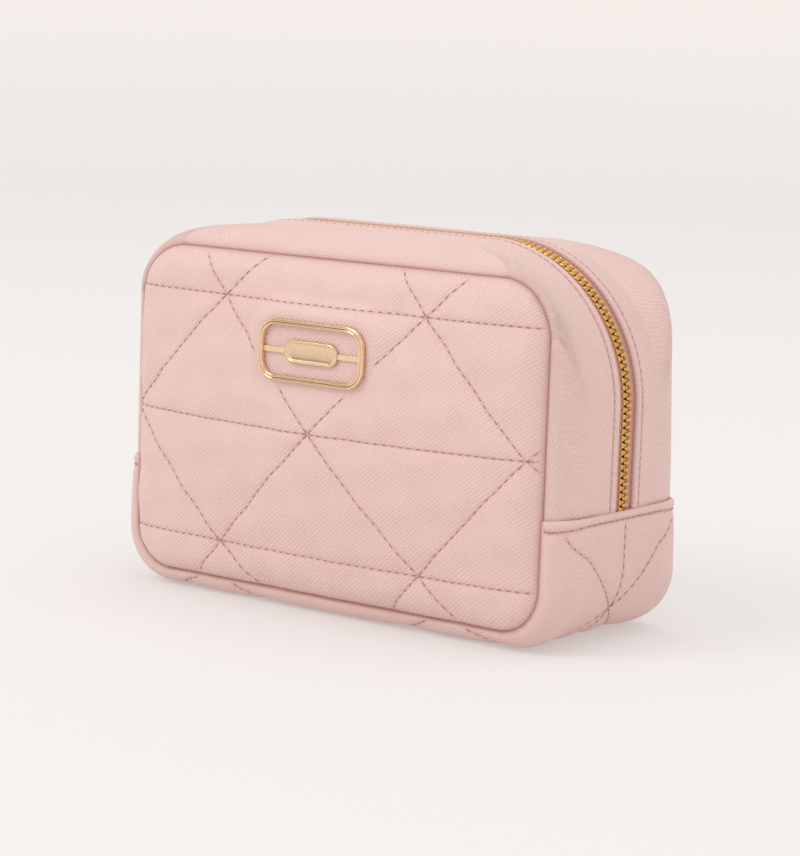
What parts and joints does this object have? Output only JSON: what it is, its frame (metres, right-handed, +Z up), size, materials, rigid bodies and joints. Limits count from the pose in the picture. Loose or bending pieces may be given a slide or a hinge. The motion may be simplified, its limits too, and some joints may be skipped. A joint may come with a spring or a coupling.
{
  "type": "makeup bag",
  "caption": "Boxy zip-top makeup bag of quilted coated leather, with an all-round gusset, a metal zip over the top and down both sides, and a metal badge.",
  "frame": {"origin": "centre of the face that the bag stands on", "axes": "+Z up, -Y towards the front panel with the badge, +X towards the viewer's right; the zip runs over the top in the plane Y = 0"},
  "size_m": [0.2131, 0.1092, 0.144],
  "materials": {
    "coated_leather": "satin, cross-hatched emboss",
    "padding": "matt polyurethane foam",
    "lining_cloth": "matt woven twill",
    "binding_tape": "matt woven tape",
    "zip_tape": "matt woven herringbone",
    "zip_metal": "polished, pale gold",
    "badge_metal": "polished, pale gold"
  },
  "bodies": {
    "bag": {"base_gusset_facing": "coated_leather", "base_gusset_foam": "padding", "base_gusset_lining": "lining_cloth", "front_panel_facing_lower": "coated_leather", "front_panel_foam_lower": "padding", "front_panel_lining_lower": "lining_cloth", "front_seam_binding_lower": "binding_tape", "front_zip_strip_facing_lower": "coated_leather", "front_zip_strip_lining_lower": "lining_cloth", "front_zip_tape_lower": "zip_tape", "front_zip_teeth_lower": "zip_metal", "rear_panel_facing_lower": "coated_leather", "rear_panel_foam_lower": "padding", "rear_panel_lining_lower": "lining_cloth", "rear_seam_binding_lower": "binding_tape", "rear_zip_strip_facing_lower": "coated_leather", "rear_zip_strip_lining_lower": "lining_cloth", "rear_zip_tape_lower": "zip_tape", "rear_zip_teeth_lower": "zip_metal"},
    "front_flap": {"badge_bridges": "badge_metal", "badge_plaque": "badge_metal", "badge_prongs": "badge_metal", "badge_ring": "badge_metal", "badge_washers": "badge_metal", "front_panel_facing_upper": "coated_leather", "front_panel_foam_upper": "padding", "front_panel_lining_upper": "lining_cloth", "front_seam_binding_upper": "binding_tape", "front_zip_strip_facing_upper": "coated_leather", "front_zip_strip_lining_upper": "lining_cloth", "front_zip_tape_upper": "zip_tape", "front_zip_teeth_upper": "zip_metal"},
    "rear_flap": {"rear_panel_facing_upper": "coated_leather", "rear_panel_foam_upper": "padding", "rear_panel_lining_upper": "lining_cloth", "rear_seam_binding_upper": "binding_tape", "rear_zip_strip_facing_upper": "coated_leather", "rear_zip_strip_lining_upper": "lining_cloth", "rear_zip_tape_upper": "zip_tape", "rear_zip_teeth_upper": "zip_metal"},
    "slider": {"zip_slider": "zip_metal"},
    "puller": {"zip_pull": "zip_metal"}
  },
  "joints": [
    {"name": "front_fold", "type": "hinge", "parent": "bag", "child": "front_flap", "pos_m": [0, -0.0537, 0.051], "axis": [1, 0, 0], "range_deg": [0, 55], "deforming": ["front_zip_teeth_upper", "front_zip_teeth_lower"]},
    {"name": "rear_fold", "type": "hinge", "parent": "bag", "child": "rear_flap", "pos_m": [0, 0.0537, 0.051], "axis": [-1, 0, 0], "range_deg": [0, 55], "deforming": ["rear_zip_teeth_upper", "rear_zip_teeth_lower"]},
    {"name": "slider_travel", "type": "slide", "parent": "bag", "child": "slider", "axis": [0, 0, 1], "range_m": [0, 0.023]},
    {"name": "pull_swing", "type": "hinge", "parent": "slider", "child": "puller", "pos_m": [-0.10605, 0, 0.0565], "axis": [0, 1, 0], "range_deg": [0, 170]}
  ]
}
